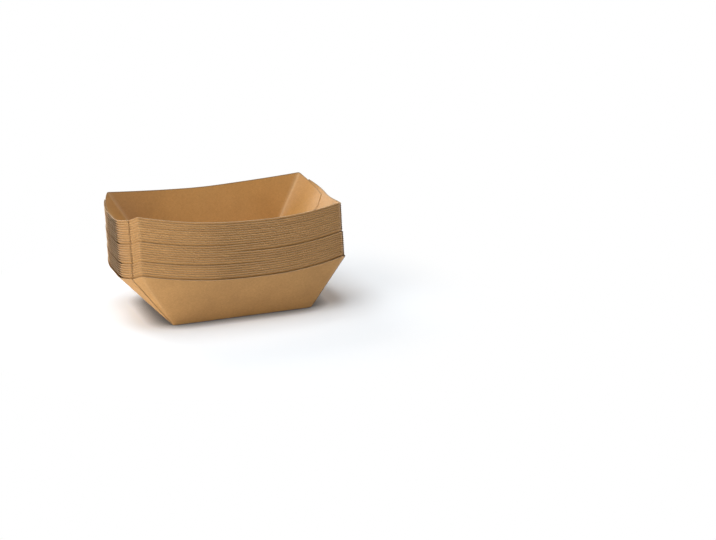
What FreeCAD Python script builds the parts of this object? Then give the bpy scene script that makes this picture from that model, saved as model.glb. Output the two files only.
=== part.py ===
import FreeCAD, Part
import math
import os
import Sketcher

# A nested stack of paperboard food trays. Each tray is one die-cut sheet: a flat floor, two long
# side walls, two end panels, and four flaps that turn round the corners from the side walls and
# lie glued against the inside of the end panels. The walls flare and bow outwards, so the rim is
# highest at its four corners.
# Frame: the origin is on the standing surface under the middle of the leaning stack, +X runs along
# the trays and +Z points up. Lengths are in millimetres and stack_tilt is in degrees.

SIZES = (
    ("tray_count", 25),
    ("board", 0.36),
    ("base_length", 105.0),
    ("base_width", 72.0),
    ("corner_height", 41.0),
    ("corner_flare_end", 23.2),
    ("corner_flare_side", 8.3),
    ("side_middle_height", 35.0),
    ("side_middle_flare", 17.6),
    ("end_middle_height", 33.0),
    ("end_middle_flare", 31.5),
    ("corner_skew", 1.3),
    ("panel_setback", 8.8),
    ("panel_edge_height", 37.4),
    ("flap_middle_height", 30.5),
    ("flap_gap", 8.6),
    ("flap_cut_width", 25.0),
    ("flap_cut_height", 25.5),
    ("flap_foot_gap", 1.2),
    ("nest_clearance", 0.03),
    ("bundle_gap", 0.5),
    ("stack_lean", 2.6),
    ("stack_tilt", 0.75),
)

# The stack was built up from smaller handfuls: a wider gap follows each of these trays.
BUNDLE_ENDS = (1, 7, 15)

# Each bowed wall is a row of narrow flats that fan out from the ends of its base crease: this
# many from a corner to the middle of a side wall, and of an end wall.
SIDE_FLAT_COUNT = 3
END_FLAT_COUNT = 5

document = FreeCAD.newDocument("tray_stack")
sheet = document.addObject("Spreadsheet::Sheet", "Sizes")
for row, (alias, size) in enumerate(SIZES, start=1):
    sheet.set(f"A{row}", alias)
    sheet.set(f"B{row}", str(size))
    sheet.setAlias(f"B{row}", alias)
document.recompute()

# Formulas over the driving sizes, in the form that the document evaluates.
HALF_LENGTH = "(Sizes.base_length / 2)"
HALF_WIDTH = "(Sizes.base_width / 2)"
CORNER_X = f"({HALF_LENGTH} + Sizes.corner_flare_end)"
CORNER_Y = f"({HALF_WIDTH} + Sizes.corner_flare_side)"
PANEL_HALF = f"({CORNER_Y} - Sizes.panel_setback)"
# The walls are first drawn up to this height, well above the rim.
MOUTH_HEIGHT = "(1.15 * Sizes.corner_height)"


def value(formula):
    """Number that a formula has with the present sizes."""
    return float(sheet.evalExpression(formula))


def bowed_radius(half_chord, rise):
    """Formula for the radius of an arc with this half chord and rise."""
    return f"((({half_chord}) ^ 2 + ({rise}) ^ 2) / (2 * ({rise})))"


# Numbers that the wall shapes share.
BOARD = value("Sizes.board")
MOUTH = value(MOUTH_HEIGHT)
MIDDLE_SLOPE_X = value("Sizes.end_middle_flare / Sizes.end_middle_height")
MIDDLE_SLOPE_Y = value("Sizes.side_middle_flare / Sizes.side_middle_height")
CREASE = FreeCAD.Vector(
    value("Sizes.corner_flare_end / Sizes.corner_height"),
    value("Sizes.corner_flare_side / Sizes.corner_height"),
    1,
)
QUADRANTS = ((-1, -1), (1, -1), (1, 1), (-1, 1))


def mouth_turn(middle_slope, crease_slope, half_chord):
    """Angle at a corner between a wall's mouth curve and its chord."""
    return 2 * math.atan((middle_slope - crease_slope) * MOUTH / half_chord)


def crease_normals():
    """Outward normals of the side wall and the end wall where they meet at a corner crease."""
    side_turn = mouth_turn(MIDDLE_SLOPE_Y, CREASE.y, value(HALF_LENGTH) + CREASE.x * MOUTH)
    end_turn = mouth_turn(MIDDLE_SLOPE_X, CREASE.x, value(HALF_WIDTH) + CREASE.y * MOUTH)
    along_side = FreeCAD.Vector(math.cos(side_turn), -math.sin(side_turn), 0)
    along_end = FreeCAD.Vector(-math.sin(end_turn), math.cos(end_turn), 0)
    return CREASE.cross(along_side).normalize(), along_end.cross(CREASE).normalize()


def corner_inset(side_depth, end_depth):
    """Level shift of a corner crease that sinks both its walls by the given depths."""
    side, end = crease_normals()
    spread = side.x * end.y - side.y * end.x
    inset_x = (side_depth * end.y - end_depth * side.y) / spread
    inset_y = (end_depth * side.x - side_depth * end.x) / spread
    return inset_x, inset_y


def wall_outline(side_depth, end_depth, floor_height):
    """Base corners and mouth curves of the walls, at these depths below the sheet's outer face."""
    inset_x = end_depth * math.hypot(1, MIDDLE_SLOPE_X)
    inset_y = side_depth * math.hypot(1, MIDDLE_SLOPE_Y)
    foot_x = value(HALF_LENGTH) + MIDDLE_SLOPE_X * floor_height - inset_x
    foot_y = value(HALF_WIDTH) + MIDDLE_SLOPE_Y * floor_height - inset_y
    middle_x = value(HALF_LENGTH) + MIDDLE_SLOPE_X * MOUTH - inset_x
    middle_y = value(HALF_WIDTH) + MIDDLE_SLOPE_Y * MOUTH - inset_y
    shift_x, shift_y = corner_inset(side_depth, end_depth)
    corner_x = value(HALF_LENGTH) + CREASE.x * MOUTH - shift_x
    corner_y = value(HALF_WIDTH) + CREASE.y * MOUTH - shift_y
    feet = [FreeCAD.Vector(foot_x * sx, foot_y * sy, floor_height) for sx, sy in QUADRANTS]
    corners = [FreeCAD.Vector(corner_x * sx, corner_y * sy, MOUTH) for sx, sy in QUADRANTS]
    middles = [(0, -middle_y), (middle_x, 0), (0, middle_y), (-middle_x, 0)]
    curves = []
    for index, middle in enumerate(middles):
        arc = Part.Arc(corners[index], FreeCAD.Vector(*middle, MOUTH), corners[(index + 1) % 4])
        flats = 2 * (SIDE_FLAT_COUNT if index % 2 == 0 else END_FLAT_COUNT)
        step = (arc.LastParameter - arc.FirstParameter) / flats
        curves.append([arc.value(arc.FirstParameter + step * n) for n in range(flats + 1)])
    return feet, curves


def flat(*points):
    """Flat face with straight edges."""
    return Part.Face(Part.makePolygon([*points, points[0]]))


def fans(feet, curves):
    """Flats of the four walls: from each base corner to its half of a curve, and one between."""
    faces = []
    for index, curve in enumerate(curves):
        near, far = feet[index], feet[(index + 1) % 4]
        half = len(curve) // 2
        faces.append(flat(near, far, curve[half]))
        for n in range(len(curve) - 1):
            faces.append(flat(near if n < half else far, curve[n], curve[n + 1]))
    return faces


def solid_of(faces):
    """Closed solid from faces that share their edges."""
    shell = Part.makeShell(faces)
    shell.sewShape()
    solid = Part.makeSolid(shell)
    if solid.Volume < 0:
        solid.reverse()
    return solid


def filled_walls(name, side_depth, end_depth):
    """Everything inside one face of the walls, up to the mouth height."""
    feet, curves = wall_outline(side_depth, end_depth, 0)
    mouth = [point for curve in curves for point in curve[:-1]]
    body = document.addObject("Part::Feature", name)
    body.Shape = solid_of([flat(*feet), *fans(feet, curves), flat(*mouth)])
    return body


def rim_arc(half_chord, high, low, lean):
    """Radius and centre, along and up, of the curve that a rim follows across a wall."""
    radius = value(bowed_radius(half_chord, f"{high} - {low}"))
    offset = lean * value("Sizes.corner_skew") * radius / value(half_chord)
    return radius, offset, value(low) + radius


def rim_point(foot, mouth_point, arc, across):
    """Where the ruling from a base corner to the mouth curve passes the rim's curve."""
    radius, centre_along, centre_up = arc
    step = mouth_point - foot
    start_along, step_along = (foot.x, step.x) if across == "x" else (foot.y, step.y)
    run, rise = start_along - centre_along, foot.z - centre_up
    square = step_along ** 2 + step.z ** 2
    middle = run * step_along + rise * step.z
    root = math.sqrt(middle ** 2 - square * (run ** 2 + rise ** 2 - radius ** 2))
    return foot + step * ((-middle - root) / square)


def rim_curves(feet, curves):
    """Rim of the folded sheet along its four walls: low in the middle and high at the corners."""
    side = (CORNER_X, "Sizes.corner_height", "Sizes.side_middle_height")
    flap = (CORNER_Y, "Sizes.corner_height", "Sizes.flap_middle_height")
    arcs = (rim_arc(*side, 1), rim_arc(*flap, -1), rim_arc(*side, -1), rim_arc(*flap, 1))
    rims = []
    for index, curve in enumerate(curves):
        near, far = feet[index], feet[(index + 1) % 4]
        half = len(curve) // 2
        across = "x" if index % 2 == 0 else "y"
        rims.append([
            rim_point(near if n < half else far, point, arcs[index], across)
            for n, point in enumerate(curve)
        ])
    for index in (1, 3):
        rims[index][0] = rims[index - 1][-1]
        rims[index][-1] = rims[(index + 1) % 4][0]
    return rims


def folded_sheet():
    """Floor, side walls and the flaps that close the ends, all one layer thick."""
    outer_feet, outer_mouth = wall_outline(0, 0, 0)
    inner_feet, inner_mouth = wall_outline(BOARD, BOARD, BOARD)
    outer_rims = rim_curves(outer_feet, outer_mouth)
    inner_rims = rim_curves(inner_feet, inner_mouth)
    faces = [flat(*outer_feet), flat(*inner_feet)]
    faces += fans(outer_feet, outer_rims) + fans(inner_feet, inner_rims)
    for outer, inner in zip(outer_rims, inner_rims):
        for n in range(len(outer) - 1):
            faces.append(flat(outer[n], outer[n + 1], inner[n + 1]))
            faces.append(flat(outer[n], inner[n + 1], inner[n]))
    body = document.addObject("Part::Feature", "folded_sheet")
    body.Shape = solid_of(faces)
    return body


def upright_outline(name, corners):
    """Closed sketch in the plane across the tray; each corner is two formulas, sideways and up."""
    sketch = document.addObject("Sketcher::SketchObject", name)
    sketch.Placement.Rotation = FreeCAD.Rotation(
        FreeCAD.Vector(0, 1, 0), FreeCAD.Vector(0, 0, 1), FreeCAD.Vector(1, 0, 0), "ZXY"
    )
    points = [FreeCAD.Vector(value(across), value(up), 0) for across, up in corners]
    for index, point in enumerate(points):
        sketch.addGeometry(Part.LineSegment(point, points[(index + 1) % len(points)]))
    for index, formulas in enumerate(corners):
        sketch.addConstraint(Sketcher.Constraint("Coincident", (index - 1) % len(points), 2, index, 1))
        for kind, formula in zip(("DistanceX", "DistanceY"), formulas):
            limit = sketch.addConstraint(Sketcher.Constraint(kind, -1, 1, index, 1, value(formula)))
            sketch.setExpression(f"Constraints[{limit}]", formula)
    return sketch


def prism(name, sketch, towards, both_ways=False):
    """Upright outline pushed along the tray."""
    body = document.addObject("Part::Extrusion", name)
    body.Base = sketch
    body.DirMode = "Custom"
    body.Dir = FreeCAD.Vector(towards, 0, 0)
    body.Solid = True
    body.Symmetric = both_ways
    body.setExpression("LengthFwd", f"4 * {CORNER_X}")
    return body


def combine(kind, name, base, tool):
    """Cut or Common of two shapes."""
    result = document.addObject(f"Part::{kind}", name)
    result.Base = base
    result.Tool = tool
    return result


def flap_gap():
    """Gap between the two flaps of each end, with its corners cut off towards the rim."""
    foot, waist, mouth = "Sizes.flap_foot_gap / 2", "Sizes.flap_gap / 2", "Sizes.flap_cut_width / 2"
    right = (
        (foot, "2 * Sizes.board"),
        (waist, "Sizes.flap_cut_height"),
        (mouth, "Sizes.flap_middle_height"),
        (mouth, MOUTH_HEIGHT),
    )
    left = tuple((f"-({across})", up) for across, up in reversed(right))
    return prism("flap_gap", upright_outline("flap_gap_outline", right + left), 1, both_ways=True)


def end_panel(name, towards, outer, inner):
    """Outer layer of one end: its side edges stop short of the corners and its rim is an arc."""
    radius = bowed_radius(PANEL_HALF, "Sizes.panel_edge_height - Sizes.end_middle_height")
    centre = f"(Sizes.corner_skew * {radius} / {CORNER_Y} * {-towards})"
    foot = f"({HALF_WIDTH} - Sizes.board)"
    corners = [(foot, "-Sizes.board"), (foot, "0")]
    for n in range(2 * END_FLAT_COUNT + 1):
        across = f"({PANEL_HALF} * {1 - n / END_FLAT_COUNT})"
        up = f"(Sizes.end_middle_height + {radius} - sqrt({radius} ^ 2 - ({across} - {centre}) ^ 2))"
        corners.append((across, up))
    corners += [(f"-{foot}", "0"), (f"-{foot}", "-Sizes.board")]
    blank = prism(f"{name}_blank", upright_outline(f"{name}_outline", corners), towards)
    layer = combine("Common", f"{name}_layer", outer, blank)
    return combine("Cut", name, layer, inner)


def folded_tray():
    """One tray at the bottom of the stack, as a single folded sheet."""
    outer = filled_walls("panel_face", 0, -BOARD)
    inner = filled_walls("sheet_face", 0, 0)
    flaps = combine("Cut", "flaps", folded_sheet(), flap_gap())
    right = end_panel("right_panel", 1, outer, inner)
    left = end_panel("left_panel", -1, outer, inner)
    tray = document.addObject("Part::MultiFuse", "folded_tray")
    tray.Shapes = [flaps, right, left]
    tray.Refine = True
    return tray


def tray_shift():
    """Sideways step from each tray to the next, as the stack leans."""
    return value("Sizes.stack_lean / max(Sizes.tray_count - 1; 1)")


def tray_turn():
    """Degrees by which each tray is turned from the one below, which lifts its left end."""
    return value("Sizes.stack_tilt / max(Sizes.tray_count - 1; 1)")


def nesting_rise():
    """Least lift at which a tray's walls clear the tray below, at the foot and top of a crease."""
    clearance = value("Sizes.nest_clearance")
    turn = math.radians(tray_turn())
    crease_ends = ((value(HALF_LENGTH), 0), (value(CORNER_X), value("Sizes.corner_height")))
    lifts = []
    for layers, normal in zip((1, 2), crease_normals()):
        for along, up in crease_ends:
            slip = (turn * up - tray_shift()) * normal.x / -normal.z + turn * along
            lifts.append((layers * BOARD + clearance) / -normal.z + abs(slip))
    return max(lifts)


def stack_trays(tray):
    """Copies of the folded tray, each resting in the one below, centred on the origin."""
    turn = FreeCAD.Rotation(FreeCAD.Vector(0, 1, 0), tray_turn())
    seat = FreeCAD.Placement()
    copies = []
    for number in range(1, int(value("Sizes.tray_count")) + 1):
        copy = document.addObject("Part::Feature", f"tray_{number:02d}")
        copy.Label = f"tray_{number:02d}"
        copy.Shape = tray.Shape
        copy.Placement = seat
        copies.append(copy)
        lift = nesting_rise() + (value("Sizes.bundle_gap") if number in BUNDLE_ENDS else 0)
        seat = seat.multiply(FreeCAD.Placement(FreeCAD.Vector(-tray_shift(), 0, lift), turn))
    middle = Part.makeCompound([copy.Shape for copy in copies]).BoundBox.Center
    for copy in copies:
        copy.Placement.Base -= FreeCAD.Vector(middle.x, middle.y, 0)
    return copies


def check(copies):
    """Stop if any object failed or any tray is not one sound solid."""
    for thing in document.Objects:
        if "Invalid" in thing.State or "Error" in thing.State:
            raise RuntimeError(f"{thing.Name} failed: {thing.State}")
    for copy in copies:
        if copy.Shape.isNull() or not copy.Shape.isValid() or len(copy.Shape.Solids) != 1:
            raise RuntimeError(f"{copy.Label} is not one sound solid")


tray = folded_tray()
document.recompute()
copies = stack_trays(tray)
document.recompute()
check(copies)
os.makedirs("parts", exist_ok=True)
for copy in copies:
    copy.Shape.exportStep(f"parts/{copy.Label}.step")
print(f"{len(copies)} trays of {copies[0].Shape.Volume:.0f} mm3 each, {nesting_rise():.3f} mm apart")
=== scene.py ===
"""Looks of a nested stack of kraft paperboard food trays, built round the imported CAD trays."""

import math

import bpy
import numpy as np
from mathutils import Matrix, Vector


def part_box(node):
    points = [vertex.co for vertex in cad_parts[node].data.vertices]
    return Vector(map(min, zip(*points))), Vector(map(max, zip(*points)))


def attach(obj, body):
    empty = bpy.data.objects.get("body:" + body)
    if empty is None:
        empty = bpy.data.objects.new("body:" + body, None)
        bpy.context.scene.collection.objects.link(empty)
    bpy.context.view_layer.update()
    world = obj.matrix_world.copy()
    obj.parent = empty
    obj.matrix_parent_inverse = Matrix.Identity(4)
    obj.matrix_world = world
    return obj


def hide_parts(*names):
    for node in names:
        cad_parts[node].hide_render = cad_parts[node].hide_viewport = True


# Sizes of one tray in millimetres, as in the CAD source.
MM = 0.001
BOARD = 0.36
HALF_LENGTH = 52.5
HALF_WIDTH = 36.0
CORNER_HEIGHT = 41.0
CORNER_FLARE_END = 23.2
CORNER_FLARE_SIDE = 8.3
SIDE_MIDDLE_HEIGHT = 35.0
SIDE_MIDDLE_FLARE = 17.6
END_MIDDLE_HEIGHT = 33.0
END_MIDDLE_FLARE = 31.5
CORNER_SKEW = 1.3
PANEL_SETBACK = 8.8
PANEL_EDGE_HEIGHT = 37.4
FLAP_MIDDLE_HEIGHT = 30.5
FLAP_GAP = 8.6
FLAP_CUT_WIDTH = 25.0
FLAP_CUT_HEIGHT = 25.5
FLAP_FOOT_GAP = 1.2

# The bowed walls are laid out as arcs at this height, a little above their rims.
MOUTH = 1.15 * CORNER_HEIGHT

# How the trays sit in each other, as in the CAD source: the tilt is in degrees.
TRAY_COUNT = 25
NESTING_RISE = 1.674
BUNDLE_GAP = 0.5
BUNDLE_ENDS = (1, 7, 15)
STACK_LEAN = 2.6
STACK_TILT = 0.75

CORNER_X = HALF_LENGTH + CORNER_FLARE_END
CORNER_Y = HALF_WIDTH + CORNER_FLARE_SIDE
PANEL_HALF = CORNER_Y - PANEL_SETBACK

# Slopes outwards for each millimetre up: along a corner crease, and in the middle of each wall.
CREASE_X = CORNER_FLARE_END / CORNER_HEIGHT
CREASE_Y = CORNER_FLARE_SIDE / CORNER_HEIGHT
SIDE_SLOPE = SIDE_MIDDLE_FLARE / SIDE_MIDDLE_HEIGHT
END_SLOPE = END_MIDDLE_FLARE / END_MIDDLE_HEIGHT

# Looks of the folds and of the board, in millimetres. A corner fold is narrower at its foot, by a
# share, and the board is drawn a little off its real thickness, so that its edges read from afar.
BASE_FOLD_WIDTH = 0.9
CORNER_FOLD_WIDTH = 1.3
CORNER_FOLD_FOOT = 0.3
FOLD_SEGMENTS = 4
FLAP_FOOT_LIFT = 0.5
FOLD_LOOPS = (3.4, 5.2)
RIM_LOOP = 0.9
SIDE_BOARD = 0.44
END_BOARD = 0.26
END_MARGIN = 0.5
LEVEL_EDGE = 0.3
SHARP_EDGE = math.radians(35)

# Steps of the mesh along a side wall, up a wall, along a panel and along a flap. Points that round to
# the same place become one, and a rim's height settles in some rounds.
SIDE_STEPS = 30
UP_STEPS = 9
PANEL_STEPS = 22
FLAP_STEPS = 9
PLACES_PER_MM = 50
RIM_ROUNDS = 20

# A flap's free edge bends at this share of its height. Its foot lifts off the floor within this
# share of its length, and the lift dies out upwards with this power.
FLAP_BEND_SHARE = 0.78
FLAP_LIFT_RUN = 0.06
FLAP_LIFT_POWER = 8

# Each bundle springs open at its rim, this much more than the one above it, in millimetres. Towards
# the right end the trays part after other trays than at the left, over this blend on each side of
# the middle.
LEFT_SPRING = 0.35
RIGHT_BUNDLE_ENDS = (1, 12)
RIGHT_SPRING = 0.5
RIGHT_BLEND = 30.0

# The rim's corner at the left and back is drawn out this far, with this spread, in millimetres.
BACK_CORNER_PULL = 1.7
BACK_CORNER_SPREAD = 15.0

# How far each tray may differ from the others at its rim: the yaw is in degrees, the rest in
# millimetres. The sheet's pattern starts anywhere on a large sheet.
YAW = 0.04
SHIFT = 0.06
RIM_WAVES = (2, 3, 5, 8)
RIM_WAVE_LIFT = 0.05
RIM_TIP = 0.06
END_BULGE = 0.1
LARGE_SHEET = 900
OTHER_HALF = (400, 0)

# Colours as linear red, green and blue.
OUTSIDE_TINT = (0.525, 0.28, 0.098)
INSIDE_TINT = (0.485, 0.255, 0.075)
SCORE_TINT = (0.72, 0.5, 0.27)
EDGE_TINTS = ((0.3, (0.43, 0.3, 0.18)), (0.7, (0.56, 0.41, 0.26)))
# RIM_SHADE is a painted shade: it darkens the inner face in a thin band along each tray's rim.
RIM_SHADE = (0.6, 0.68, 0.85)
WHITE = (1.0, 1.0, 1.0)

# Layers of tone on the board: scale, detail, stretch and turn of a noise, and the stops of its ramp.
CLOUDS = (0.06, 3, (1, 1, 1), 0.0, ((0.3, (0.94, 0.93, 0.92)), (0.7, (1.05, 1.05, 1.06))))
MOTTLE = (0.45, 3, (1, 1, 1), 0.0, ((0.3, (0.95, 0.94, 0.93)), (0.7, (1.04, 1.045, 1.05))))
FIBRES = (1.0, 3, (0.55, 5.0, 1), 0.12, ((0.36, (0.91, 0.9, 0.88)), (0.64, (1.07, 1.075, 1.08))))
WEAVE = (1.0, 3, (1.1, 6.0, 1), -0.5, ((0.36, (0.94, 0.935, 0.93)), (0.64, (1.05, 1.05, 1.055))))
FLECKS = (1.0, 1, (0.9, 3.6, 1), 0.3, ((0.26, (0.72, 0.68, 0.62)), (0.33, WHITE)))
EDGE_GRAIN = (3.0, 2, (1, 1, 1), 0.0, EDGE_TINTS)
BATCH_STOPS = ((0.0, (0.93, 0.92, 0.91)), (1.0, (1.06, 1.07, 1.08)))
FOLD_WEAR_SPAN = (0.35, 0.95)
RIM_SPAN = (0.05, 0.4)
ROUGHNESS_SPREAD = 0.07
FIBRE_BUMP = 0.6
EDGE_ROUGHNESS = 0.9
EDGE_GLOSS = 0.2

# The floor: its colour, its glow for the camera, the reach of the painted contact shadow in millimetres
# and its ramp (ambient occlusion darkens the floor's colour and glow near the stack), and the distances
# from the stack between which it fades to white, in metres.
FLOOR_TINT = (0.83, 0.87, 0.91)
FLOOR_GLOW = 0.13
CONTACT_REACH = 15
CONTACT_STOPS = ((0.2, (0.15, 0.15, 0.15)), (0.8, WHITE))
FLOOR_FADE = (0.1, 0.2)
FLOOR_REACH = 4.0
FLOOR_DROP = 5e-5
WORLD_FILL = 0.05

# The camera stands where the photographer stood: degrees, metres and millimetres of lens.
AZIMUTH = math.radians(-22.546)
ELEVATION = math.radians(17.461)
DISTANCE = 1.14398
LENS = 76.57
SENSOR = 36
AIM_RIGHT = 0.097397
AIM_UP = 0.023847


# Walls as heights and reaches

def bowed(half_chord, rise):
    """Radius of an arc with this half chord and rise."""
    return (half_chord ** 2 + rise ** 2) / (2 * rise)


def reach(along, height, half, foot, slope, crease_along, crease_out):
    """How far out a wall stands at a place along it and a height: flat in the middle, coned at its ends."""
    share = np.maximum(height, 1e-6) / MOUTH
    mouth_along = np.maximum(half + (np.abs(along) - half) / share, 0)
    bow = (slope - crease_out) * MOUTH
    radius = bowed(half + crease_along * MOUTH, bow)
    sagged = radius - np.sqrt(np.maximum(radius ** 2 - mouth_along ** 2, 0))
    return foot + (slope * MOUTH - sagged) * share


def side_reach(along, height):
    """Reach of a long side wall's outer face."""
    return reach(along, height, HALF_LENGTH, HALF_WIDTH, SIDE_SLOPE, CREASE_X, CREASE_Y)


def end_reach(along, height):
    """Reach of an end's flaps, on their outer face."""
    return reach(along, height, HALF_WIDTH, HALF_LENGTH, END_SLOPE, CREASE_Y, CREASE_X)


def panel_reach(along, height):
    """Reach of an end panel's outer face, one board outside the flaps."""
    step = 0.05
    raised = np.maximum(height, step)
    lean = (end_reach(along, raised + step) - end_reach(along, raised - step)) / (2 * step)
    turn = (end_reach(along + step, raised) - end_reach(along - step, raised)) / (2 * step)
    return end_reach(along, height) + BOARD * np.sqrt(1 + lean ** 2 + turn ** 2)


def rim(along, half_chord, high, low, skew):
    """Height of a rim that dips in the middle of a wall and leans a little to one end."""
    radius = bowed(half_chord, high - low)
    centre = skew * radius
    return low + radius - np.sqrt(radius ** 2 - (along - centre) ** 2)


def side_rim(along):
    """Rim of a long side wall."""
    return rim(along, CORNER_X, CORNER_HEIGHT, SIDE_MIDDLE_HEIGHT, CORNER_SKEW / CORNER_X)


def flap_rim(along):
    """Rim of the flaps of an end."""
    return rim(along, CORNER_Y, CORNER_HEIGHT, FLAP_MIDDLE_HEIGHT, -CORNER_SKEW / CORNER_Y)


def panel_rim(along):
    """Rim of an end panel."""
    return rim(along, PANEL_HALF, PANEL_EDGE_HEIGHT, END_MIDDLE_HEIGHT, -CORNER_SKEW / CORNER_Y)


def corner_top(end):
    """Height of the corner at the end of a side wall, -1 or 1 along it."""
    height = CORNER_HEIGHT
    for _ in range(RIM_ROUNDS):
        height = side_rim(end * (HALF_LENGTH + CREASE_X * height))
    return float(height)


# Patches of one tray: rows of points along a wall and up it

def spread(count, start_loops, end_loops, length):
    """Steps from 0 to 1 over a length in millimetres, with extra ones this far from each end."""
    steps = set(np.linspace(0, 1, count + 1))
    steps.update(loop / length for loop in start_loops)
    steps.update(1 - loop / length for loop in end_loops)
    return np.array(sorted(steps))


ACROSS = spread(SIDE_STEPS, FOLD_LOOPS, FOLD_LOOPS, 2 * HALF_LENGTH) * 2 - 1
UPWARDS = spread(UP_STEPS, FOLD_LOOPS, (RIM_LOOP,), CORNER_HEIGHT)
PANEL_ACROSS = spread(PANEL_STEPS, FOLD_LOOPS, FOLD_LOOPS, 2 * HALF_WIDTH) * 2 - 1
FLAP_ACROSS = spread(FLAP_STEPS, FOLD_LOOPS, (), CORNER_Y)
FLAP_BEND = UPWARDS[np.argmin(abs(UPWARDS - FLAP_BEND_SHARE))]


def side_patch():
    """The front wall: along +X and up, with its outer face towards -Y."""
    u, v = np.meshgrid(ACROSS, UPWARDS, indexing="ij")
    top = np.full_like(u, CORNER_HEIGHT)
    for _ in range(RIM_ROUNDS):
        top = side_rim(u * (HALF_LENGTH + CREASE_X * top))
    height = v * top
    along = u * (HALF_LENGTH + CREASE_X * height)
    points = np.stack([along, -side_reach(along, height), height], axis=-1)
    sheet = np.stack([along, height * math.hypot(1, SIDE_SLOPE) + HALF_WIDTH], axis=-1)
    score = (np.abs(u) == 1) | (v == 0)
    return points, sheet, score, v == 1


def flap_patch(towards):
    """One flap of the right end, from its corner fold to its free edge; towards is -1 or 1 along +Y."""
    w, v = np.meshgrid(FLAP_ACROSS, UPWARDS, indexing="ij")
    top = corner_top(1) if towards < 0 else corner_top(-1)
    fold_along, fold_height = HALF_WIDTH + CREASE_Y * v * top, v * top
    cut_half = FLAP_CUT_WIDTH / 2
    cut_top = float(flap_rim(towards * cut_half))
    edge_along = np.interp(v, (0, FLAP_BEND, 1), (FLAP_FOOT_GAP / 2, FLAP_GAP / 2, cut_half))
    edge_height = np.interp(v, (0, FLAP_BEND, 1), (FLAP_FOOT_LIFT, FLAP_CUT_HEIGHT, cut_top))
    along = fold_along * (1 - w) + edge_along * w
    height = fold_height * (1 - w) + edge_height * w
    top_along = (HALF_WIDTH + CREASE_Y * top) * (1 - w) + cut_half * w
    bent = flap_rim(towards * top_along)
    ends_gap = (float(flap_rim(towards * (HALF_WIDTH + CREASE_Y * top))) - top) * (1 - w)
    height = height + v ** 2 * (bent - ends_gap - top * (1 - w) - cut_top * w)
    lifted = FLAP_FOOT_LIFT * np.minimum(1, w / FLAP_LIFT_RUN)
    height = height + (1 - v) ** FLAP_LIFT_POWER * (lifted - FLAP_FOOT_LIFT * w)
    points = np.stack([end_reach(along, height), towards * along, height], axis=-1)
    sheet = np.stack([CORNER_X + (fold_along - along), height], axis=-1)
    score = w == 0
    return points, sheet, score, v == 1


def panel_patch():
    """The right end's panel: along +Y and up, with its outer face towards +X."""
    s, v = np.meshgrid(PANEL_ACROSS, UPWARDS, indexing="ij")
    half = HALF_WIDTH - BOARD
    top_along = s * PANEL_HALF
    height = v * panel_rim(top_along)
    along = s * (half + (PANEL_HALF - half) * v)
    out = panel_reach(along, height)
    corner = (np.abs(s) == 1) & (v == 0)
    out = np.where(corner, HALF_LENGTH, out)
    along = np.where(corner, s * HALF_WIDTH, along)
    points = np.stack([out, along, height], axis=-1)
    sheet = np.stack([HALF_LENGTH + height * math.hypot(1, END_SLOPE), along], axis=-1)
    score = v == 0
    return points, sheet, score, v == 1


def floor_patch():
    """The floor, with its outer face downwards."""
    s, u = np.meshgrid(PANEL_ACROSS, ACROSS, indexing="ij")
    foot = float(panel_reach(0.0, 0.0)) - HALF_LENGTH
    half_width = np.where(np.abs(u) == 1, HALF_WIDTH - BOARD, HALF_WIDTH)
    half_width = np.where(np.abs(s) == 1, HALF_WIDTH, half_width)
    half_length = np.where(np.abs(s) == 1, HALF_LENGTH, HALF_LENGTH + foot)
    points = np.stack([u * half_length, s * half_width, np.zeros_like(u)], axis=-1)
    sheet = points[..., :2].copy()
    score = (np.abs(s) == 1) | (np.abs(u) == 1)
    return points, sheet, score, np.zeros_like(score)


def turned(patch):
    """The same patch on the other side of the tray, half a turn about the upright axis."""
    points, sheet, score, rim_mark = patch
    return points * (-1, -1, 1), sheet + OTHER_HALF, score, rim_mark


def flipped(patch):
    """The same patch with its faces looking the other way."""
    return tuple(part[::-1] for part in patch)


def tray_patches():
    """All patches of one tray, their faces outwards."""
    half = [side_patch(), flap_patch(-1), flipped(flap_patch(1)), panel_patch()]
    return half + [turned(patch) for patch in half] + [floor_patch()]


def tray_sheet():
    """Points, quads, flat-sheet coordinates of each quad's corners, fold and rim marks of one tray."""
    found, points, folds, rims, quads, corners = {}, [], [], [], [], []
    for patch_points, sheet, score, rim_mark in tray_patches():
        rows, columns = patch_points.shape[:2]
        index = np.empty((rows, columns), int)
        for i in range(rows):
            for j in range(columns):
                key = tuple(np.round(patch_points[i, j] * PLACES_PER_MM).astype(int))
                if key not in found:
                    found[key] = len(points)
                    points.append(patch_points[i, j])
                    folds.append(0.0)
                    rims.append(0.0)
                index[i, j] = found[key]
                folds[index[i, j]] = max(folds[index[i, j]], float(score[i, j]))
                rims[index[i, j]] = max(rims[index[i, j]], float(rim_mark[i, j]))
        for i in range(rows - 1):
            for j in range(columns - 1):
                ring = ((i, j), (i + 1, j), (i + 1, j + 1), (i, j + 1))
                quads.append([int(index[place]) for place in ring])
                corners.extend(sheet[place] for place in ring)
    return np.array(points), quads, np.array(corners), np.array(folds), np.array(rims)


# Board, cut edge and floor materials

def new_material(name):
    """Empty node material with its output."""
    material = bpy.data.materials.new(name)
    material.use_nodes = True
    nodes = material.node_tree.nodes
    nodes.clear()
    output = nodes.new("ShaderNodeOutputMaterial")
    return material, nodes, material.node_tree.links, output


def flat_sheet(nodes):
    """Place on the flat sheet."""
    uv = nodes.new("ShaderNodeUVMap")
    uv.uv_map = "sheet"
    return uv.outputs["UV"]


def noise(nodes, links, coordinates, scale, detail, stretch, turn):
    """Noise over the flat sheet, stretched along one way of it."""
    mapping = nodes.new("ShaderNodeMapping")
    mapping.inputs["Scale"].default_value = stretch
    mapping.inputs["Rotation"].default_value = (0, 0, turn)
    texture = nodes.new("ShaderNodeTexNoise")
    texture.inputs["Scale"].default_value = scale
    texture.inputs["Detail"].default_value = detail
    links.new(coordinates, mapping.inputs["Vector"])
    links.new(mapping.outputs["Vector"], texture.inputs["Vector"])
    return texture.outputs["Fac"]


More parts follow.
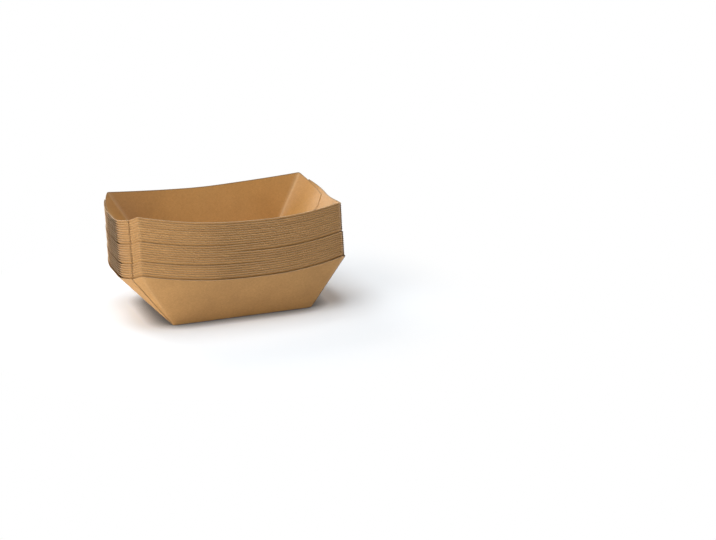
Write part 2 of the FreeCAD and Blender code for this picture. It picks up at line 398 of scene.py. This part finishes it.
def ramp(nodes, links, source, stops):
    """Colour ramp with (place, colour) stops."""
    band = nodes.new("ShaderNodeValToRGB")
    elements = band.color_ramp.elements
    for element, (place, colour) in zip(elements, stops):
        element.position = place
        element.color = (*colour, 1)
    links.new(source, band.inputs["Fac"])
    return band.outputs["Color"]


def mix(nodes, links, kind, factor, first, second):
    """Mix of two colours; factor is a number or a socket."""
    node = nodes.new("ShaderNodeMix")
    node.data_type = "RGBA"
    node.blend_type = kind
    if isinstance(factor, float):
        node.inputs["Factor"].default_value = factor
    else:
        links.new(factor, node.inputs["Factor"])
    for socket, colour in ((node.inputs[6], first), (node.inputs[7], second)):
        if isinstance(colour, tuple):
            socket.default_value = (*colour, 1)
        else:
            links.new(colour, socket)
    return node.outputs[2]


def figure(nodes, links, operation, first, second):
    """Product or larger of a socket and a second socket or number."""
    node = nodes.new("ShaderNodeMath")
    node.operation = operation
    links.new(first, node.inputs[0])
    if isinstance(second, float):
        node.inputs[1].default_value = second
    else:
        links.new(second, node.inputs[1])
    return node.outputs["Value"]


def background_rays(nodes, links):
    """1 for the rays that see the background: those of the camera, of a gloss and of a glass."""
    rays = nodes.new("ShaderNodeLightPath")
    seen = rays.outputs["Is Camera Ray"]
    for kind in ("Is Glossy Ray", "Is Transmission Ray"):
        seen = figure(nodes, links, "MAXIMUM", seen, rays.outputs[kind])
    return seen


def emission(nodes):
    """White light of strength 1."""
    light = nodes.new("ShaderNodeEmission")
    light.inputs["Color"].default_value = (*WHITE, 1)
    return light


def mark(nodes, name):
    """Number that each point of the mesh carries."""
    attribute = nodes.new("ShaderNodeAttribute")
    attribute.attribute_name = name
    return attribute.outputs["Fac"]


def kraft(name, tint, roughness, gloss, fibre_depth, fold_wear, rim_shade):
    """Kraft paperboard: long faint fibres, darker flecks, cloudy tone, paler scored folds, and a painted
    shade along the rim in rim_shade's colour.
    """
    material, nodes, links, output = new_material(name)
    board = nodes.new("ShaderNodeBsdfPrincipled")
    links.new(board.outputs["BSDF"], output.inputs["Surface"])
    place = flat_sheet(nodes)
    base = tint
    patterns = {}
    for layer in (CLOUDS, MOTTLE, FIBRES, WEAVE, FLECKS):
        patterns[layer] = noise(nodes, links, place, *layer[:-1])
        base = mix(nodes, links, "MULTIPLY", 1.0, base, ramp(nodes, links, patterns[layer], layer[-1]))
    worn = nodes.new("ShaderNodeMapRange")
    worn.inputs["From Min"].default_value = FOLD_WEAR_SPAN[0]
    worn.inputs["From Max"].default_value = FOLD_WEAR_SPAN[1]
    worn.inputs["To Max"].default_value = fold_wear
    links.new(mark(nodes, "score"), worn.inputs["Value"])
    base = mix(nodes, links, "MIX", worn.outputs["Result"], base, SCORE_TINT)
    batch = ramp(nodes, links, mark(nodes, "tone"), BATCH_STOPS)
    base = mix(nodes, links, "MULTIPLY", 1.0, base, batch)
    # Painted shade: the board darkens towards rim_shade in a thin band along the rim, standing in for the
    # shade at the rim's edge.
    rim_painted_shade = ramp(nodes, links, mark(nodes, "rim"), ((RIM_SPAN[0], WHITE), (RIM_SPAN[1], rim_shade)))
    base = mix(nodes, links, "MULTIPLY", 1.0, base, rim_painted_shade)
    links.new(base, board.inputs["Base Color"])
    rough = nodes.new("ShaderNodeMapRange")
    rough.inputs["To Min"].default_value = roughness - ROUGHNESS_SPREAD
    rough.inputs["To Max"].default_value = roughness + ROUGHNESS_SPREAD
    links.new(patterns[FIBRES], rough.inputs["Value"])
    links.new(rough.outputs["Result"], board.inputs["Roughness"])
    board.inputs["Specular IOR Level"].default_value = gloss
    bump = nodes.new("ShaderNodeBump")
    bump.inputs["Distance"].default_value = fibre_depth * MM
    bump.inputs["Strength"].default_value = FIBRE_BUMP
    links.new(patterns[FIBRES], bump.inputs["Height"])
    links.new(bump.outputs["Normal"], board.inputs["Normal"])
    return material


def cut_edge():
    """The board's cut edge: greyer and rougher, with the layers of the pulp."""
    material, nodes, links, output = new_material("board_cut_edge")
    board = nodes.new("ShaderNodeBsdfPrincipled")
    links.new(board.outputs["BSDF"], output.inputs["Surface"])
    grain = noise(nodes, links, flat_sheet(nodes), *EDGE_GRAIN[:-1])
    links.new(ramp(nodes, links, grain, EDGE_GRAIN[-1]), board.inputs["Base Color"])
    board.inputs["Roughness"].default_value = EDGE_ROUGHNESS
    board.inputs["Specular IOR Level"].default_value = EDGE_GLOSS
    return material


def floor_material():
    """Plain white studio floor that fades to white for the camera while it keeps the shadow, darkened near
    the stack by a painted contact shadow from ambient occlusion.
    """
    material, nodes, links, output = new_material("studio_floor")
    seen = background_rays(nodes, links)
    # Painted contact shadow: ambient occlusion goes through a dark ramp that multiplies the floor's colour
    # and its glow.
    near = nodes.new("ShaderNodeAmbientOcclusion")
    near.inputs["Distance"].default_value = CONTACT_REACH * MM
    painted_contact_shadow = ramp(nodes, links, near.outputs["AO"], CONTACT_STOPS)
    matte = nodes.new("ShaderNodeBsdfDiffuse")
    links.new(mix(nodes, links, "MULTIPLY", seen, FLOOR_TINT, painted_contact_shadow), matte.inputs["Color"])
    glow = nodes.new("ShaderNodeEmission")
    links.new(painted_contact_shadow, glow.inputs["Color"])
    links.new(figure(nodes, links, "MULTIPLY", seen, FLOOR_GLOW), glow.inputs["Strength"])
    both = nodes.new("ShaderNodeAddShader")
    links.new(matte.outputs["BSDF"], both.inputs[0])
    links.new(glow.outputs["Emission"], both.inputs[1])
    place = nodes.new("ShaderNodeNewGeometry")
    distance = nodes.new("ShaderNodeVectorMath")
    distance.operation = "LENGTH"
    links.new(place.outputs["Position"], distance.inputs[0])
    fade = nodes.new("ShaderNodeMapRange")
    fade.interpolation_type = "SMOOTHSTEP"
    fade.inputs["From Min"].default_value = FLOOR_FADE[0]
    fade.inputs["From Max"].default_value = FLOOR_FADE[1]
    links.new(distance.outputs["Value"], fade.inputs["Value"])
    shown = nodes.new("ShaderNodeMixShader")
    links.new(figure(nodes, links, "MULTIPLY", seen, fade.outputs["Result"]), shown.inputs["Fac"])
    links.new(both.outputs["Shader"], shown.inputs[1])
    links.new(emission(nodes).outputs["Emission"], shown.inputs[2])
    links.new(shown.outputs["Shader"], output.inputs["Surface"])
    return material


# Trays

def bundled(points, below):
    """Points of the tray with this many trays below it, its bundle sprung open a little."""
    moved = points.copy()
    up = points[:, 2] / CORNER_HEIGHT
    share = np.clip((points[:, 0] + RIGHT_BLEND) / (2 * RIGHT_BLEND), 0, 1)
    at_right = share ** 2 * (3 - 2 * share)
    left_gaps = sum(below >= number for number in BUNDLE_ENDS)
    right_gaps = sum(below >= number for number in RIGHT_BUNDLE_ENDS)
    left_spring = LEFT_SPRING * (len(BUNDLE_ENDS) / 2 - left_gaps)
    right_spring = RIGHT_SPRING * (len(RIGHT_BUNDLE_ENDS) / 2 - right_gaps)
    spring = left_spring + (right_spring - left_spring) * at_right
    # At the right each gap above the first is as wide as two at the left.
    right_rise = BUNDLE_GAP * (right_gaps + max(right_gaps - 1, 0) - left_gaps)
    moved[:, 2] += right_rise * up * at_right
    moved[:, 0] += spring * up * points[:, 0] / CORNER_X
    moved[:, 1] += spring * up * points[:, 1] / CORNER_Y
    from_corner = np.hypot(points[:, 0] + CORNER_X, points[:, 1] - CORNER_Y)
    moved[:, 0] -= BACK_CORNER_PULL * up * np.exp(-((from_corner / BACK_CORNER_SPREAD) ** 2))
    return moved


def uneven(points, moved, chance):
    """The same points with what sets one tray apart from the next: a turn, a shift and a wavy rim."""
    up = points[:, 2] / CORNER_HEIGHT
    yaw = math.radians(chance.uniform(-YAW, YAW))
    moved[:, 0] += (chance.uniform(-SHIFT, SHIFT) - yaw * points[:, 1]) * up
    moved[:, 1] += (chance.uniform(-SHIFT, SHIFT) + yaw * points[:, 0]) * up
    angle = np.arctan2(points[:, 1] / CORNER_Y, points[:, 0] / CORNER_X)
    for waves in RIM_WAVES:
        lift, phase = chance.uniform(-RIM_WAVE_LIFT, RIM_WAVE_LIFT), chance.uniform(0, 2 * math.pi)
        moved[:, 2] += lift * np.sin(waves * angle + phase) * up
    moved[:, 2] += chance.uniform(-RIM_TIP, RIM_TIP) * up * points[:, 0] / CORNER_X
    end_middle = np.maximum(1 - (points[:, 1] / PANEL_HALF) ** 2, 0)
    for end in (-1, 1):
        beyond = end * points[:, 0] > HALF_LENGTH
        moved[:, 0] += beyond * end * chance.uniform(-END_BULGE, END_BULGE) * up * end_middle
    return moved


def fold_widths(mesh, points, folds):
    """Width of each edge's fold as a share of the widest: none where the sheet isn't folded."""
    ends = np.array([edge.vertices[:] for edge in mesh.edges])
    folded = folds[ends].min(axis=1)
    heights = points[ends][:, :, 2]
    upright = np.abs(heights[:, 1] - heights[:, 0]) > LEVEL_EDGE
    corner = CORNER_FOLD_FOOT + (1 - CORNER_FOLD_FOOT) * heights.mean(axis=1) / CORNER_HEIGHT
    return folded * np.where(upright, corner, BASE_FOLD_WIDTH / CORNER_FOLD_WIDTH)


def tray_mesh(name, tray_parts, materials, seat, below):
    """The thin sheet of one tray in its seat, with the marks that its folds and materials need."""
    points, quads, corners, folds, rims = tray_parts
    chance = np.random.default_rng(below)
    moved = uneven(points, bundled(points, below), chance)
    placed = moved @ np.array(seat.to_3x3()).T + np.array(seat.translation)
    mesh = bpy.data.meshes.new(name)
    mesh.from_pydata((placed * MM).tolist(), [], quads)
    own_place = corners + chance.uniform(0, LARGE_SHEET, 2)
    mesh.uv_layers.new(name="sheet").data.foreach_set("uv", own_place.ravel())
    tones = np.full(len(points), chance.uniform(0, 1))
    for mark_name, values in (("score", folds), ("rim", rims), ("tone", tones)):
        mesh.attributes.new(mark_name, "FLOAT", "POINT").data.foreach_set("value", values)
    widths = fold_widths(mesh, points, folds)
    mesh.attributes.new("bevel_weight_edge", "FLOAT", "EDGE").data.foreach_set("value", widths)
    for material in materials:
        mesh.materials.append(material)
    return mesh


def tray_object(name, tray_parts, materials, seat, below):
    """One tray with rounded folds and the board's thickness, in its seat in the stack."""
    points = tray_parts[0]
    thin = bpy.data.objects.new(name + "_sheet", tray_mesh(name, tray_parts, materials, seat, below))
    bpy.context.scene.collection.objects.link(thin)
    at_side = np.abs(points[:, 0]) < HALF_LENGTH + CREASE_X * points[:, 2] - END_MARGIN
    thin.vertex_groups.new(name="sides").add(np.flatnonzero(at_side).tolist(), 1.0, "REPLACE")
    fold = thin.modifiers.new("folds", "BEVEL")
    fold.limit_method = "WEIGHT"
    fold.width = CORNER_FOLD_WIDTH * MM
    fold.segments = FOLD_SEGMENTS
    thick = thin.modifiers.new("board", "SOLIDIFY")
    thick.thickness = SIDE_BOARD * MM
    thick.vertex_group = "sides"
    thick.thickness_vertex_group = END_BOARD / SIDE_BOARD
    thick.offset = -1
    thick.use_even_offset = True
    thick.material_offset = 2
    thick.material_offset_rim = 1
    bpy.context.view_layer.update()
    shaped = bpy.data.meshes.new_from_object(thin.evaluated_get(bpy.context.evaluated_depsgraph_get()))
    bpy.data.objects.remove(thin)
    shaped.name = name
    shaped.shade_smooth()
    shaped.set_sharp_from_angle(angle=SHARP_EDGE)
    made = bpy.data.objects.new(name, shaped)
    bpy.context.scene.collection.objects.link(made)
    return made


def seats(first_x):
    """Seat of each tray in millimetres: each rests in the one below, moved and turned a little."""
    turn = Matrix.Rotation(math.radians(STACK_TILT / (TRAY_COUNT - 1)), 4, "Y")
    seat = Matrix.Translation((first_x, 0, 0))
    for number in range(1, TRAY_COUNT + 1):
        yield seat
        lift = NESTING_RISE + (BUNDLE_GAP if number in BUNDLE_ENDS else 0)
        seat = seat @ Matrix.Translation((-STACK_LEAN / (TRAY_COUNT - 1), 0, lift)) @ turn


# Floor, light and camera

def lay_floor():
    """Wide floor just under the stack."""
    mesh = bpy.data.meshes.new("studio_floor")
    corners = [(x, y, -FLOOR_DROP) for x, y in ((-1, -1), (1, -1), (1, 1), (-1, 1))]
    corners = [(x * FLOOR_REACH, y * FLOOR_REACH, z) for x, y, z in corners]
    mesh.from_pydata(corners, [], [(0, 1, 2, 3)])
    mesh.materials.append(floor_material())
    studio_floor = bpy.data.objects.new("studio_floor", mesh)
    bpy.context.scene.collection.objects.link(studio_floor)
    return studio_floor


def white_world():
    """Weak even fill, which shows as white behind the floor and in a gloss."""
    world = bpy.data.worlds.new("studio")
    bpy.context.scene.world = world
    world.use_nodes = True
    nodes, links = world.node_tree.nodes, world.node_tree.links
    nodes.clear()
    output = nodes.new("ShaderNodeOutputWorld")
    both = nodes.new("ShaderNodeMixShader")
    links.new(background_rays(nodes, links), both.inputs["Fac"])
    for socket, strength in ((both.inputs[1], WORLD_FILL), (both.inputs[2], 1.0)):
        background = nodes.new("ShaderNodeBackground")
        background.inputs["Color"].default_value = (*WHITE, 1)
        background.inputs["Strength"].default_value = strength
        links.new(background.outputs["Background"], socket)
    links.new(both.outputs["Shader"], output.inputs["Surface"])


def soft_light(name, place, size, power, aim=(0, 0, 0.04)):
    """Square soft box that looks at the stack: metres and watts."""
    lamp = bpy.data.lights.new(name, "AREA")
    lamp.shape = "SQUARE"
    lamp.size = size
    lamp.energy = power
    light = bpy.data.objects.new(name, lamp)
    light.location = place
    light.rotation_euler = (Vector(aim) - Vector(place)).to_track_quat("-Z", "Y").to_euler()
    bpy.context.scene.collection.objects.link(light)


def place_camera(first_x):
    """Camera that looks past the stack's right side, as the photographer's did."""
    level = math.cos(ELEVATION)
    back = Vector((math.sin(AZIMUTH) * level, -math.cos(AZIMUTH) * level, math.sin(ELEVATION)))
    right = Vector((math.cos(AZIMUTH), math.sin(AZIMUTH), 0))
    up = back.cross(right)
    aim = Vector((first_x, 0, 0)) + right * AIM_RIGHT + up * AIM_UP
    lens = bpy.data.cameras.new("camera")
    lens.sensor_fit = "HORIZONTAL"
    lens.sensor_width = SENSOR
    lens.lens = LENS
    lens.clip_start = 0.05
    lens.clip_end = 20
    camera = bpy.data.objects.new("camera", lens)
    turn = Matrix((right, up, back)).transposed().to_4x4()
    camera.matrix_world = Matrix.Translation(aim + back * DISTANCE) @ turn
    bpy.context.scene.collection.objects.link(camera)
    bpy.context.scene.camera = camera


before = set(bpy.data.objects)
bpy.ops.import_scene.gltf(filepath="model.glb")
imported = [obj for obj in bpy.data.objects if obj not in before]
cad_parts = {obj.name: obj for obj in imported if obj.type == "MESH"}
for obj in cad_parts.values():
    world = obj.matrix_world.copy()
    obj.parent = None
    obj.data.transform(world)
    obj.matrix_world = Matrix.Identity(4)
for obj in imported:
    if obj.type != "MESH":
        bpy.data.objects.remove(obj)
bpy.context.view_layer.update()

outside = kraft(
    "kraft_outside", OUTSIDE_TINT,
    roughness=0.66, gloss=0.3, fibre_depth=0.02, fold_wear=0.08, rim_shade=WHITE,
)
inside = kraft(
    "kraft_inside", INSIDE_TINT,
    roughness=0.5, gloss=0.4, fibre_depth=0.012, fold_wear=0.3, rim_shade=RIM_SHADE,
)
edge = cut_edge()
tray_parts = tray_sheet()
first_low, first_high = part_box("tray_01")
first_x = (first_low.x + first_high.x) / 2
nodes_upwards = sorted(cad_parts)
for below, (node, seat) in enumerate(zip(nodes_upwards, seats(first_x / MM))):
    tray = tray_object("kraft_" + node, tray_parts, (outside, edge, inside), seat, below)
    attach(tray, "root")
    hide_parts(node)

lay_floor()
white_world()
soft_light("left_box", (-1.1, -0.35, 0.35), size=0.7, power=11)
soft_light("left_high_box", (-0.9, -0.1, 0.95), size=0.7, power=2.5)
soft_light("top_box", (-0.1, 0.0, 1.3), size=0.9, power=10)
soft_light("right_box", (1.1, -0.6, 0.55), size=0.8, power=3.3)
soft_light("back_box", (-0.3, 1.2, 0.9), size=0.8, power=9)
place_camera(first_x)
bpy.context.scene.view_settings.view_transform = "Standard"
